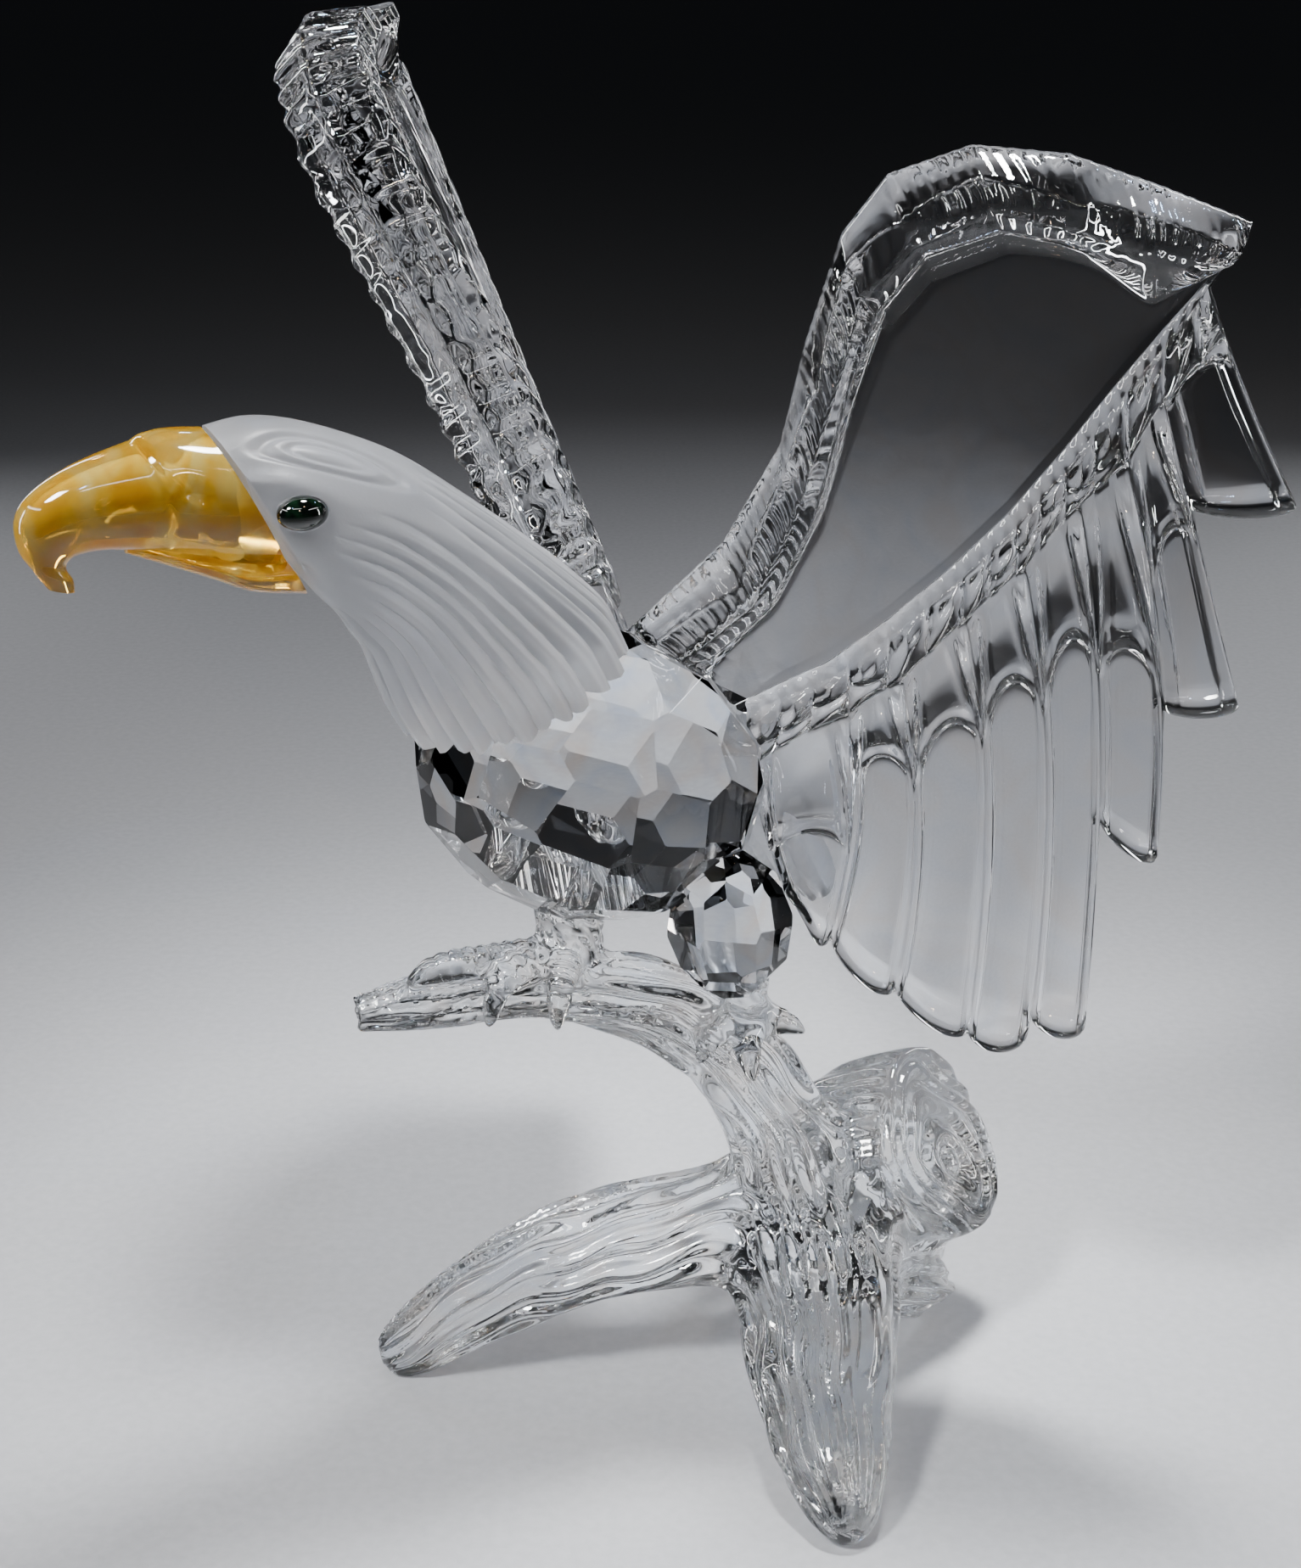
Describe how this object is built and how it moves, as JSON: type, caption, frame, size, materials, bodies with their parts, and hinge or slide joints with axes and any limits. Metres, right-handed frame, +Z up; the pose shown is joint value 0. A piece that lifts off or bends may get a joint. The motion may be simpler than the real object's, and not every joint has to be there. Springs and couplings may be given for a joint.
{
  "type": "crystal eagle figurine",
  "caption": "Clear crystal eagle with raised wings, frosted head and amber beak, perched on a moulded crystal branch that stands on its roots.",
  "frame": {"origin": "on the table, under the middle of the figure's bounding box", "axes": "+Z up, +X along the perch from its free end to the trunk, -Y towards the front root"},
  "size_m": [0.1082, 0.0894, 0.135],
  "materials": {
    "clear_crystal": "cut and polished",
    "frosted_crystal": "satin frosted",
    "amber_crystal": "polished",
    "black_crystal": "cut and polished"
  },
  "bodies": {
    "root": {"head_and_neck": "frosted_crystal", "beak": "amber_crystal", "eye_left": "black_crystal", "eye_right": "black_crystal", "body": "clear_crystal", "wing_left": "clear_crystal", "wing_right": "clear_crystal", "tail": "frosted_crystal", "thigh_left": "clear_crystal", "branch": "clear_crystal"}
  },
  "joints": []
}
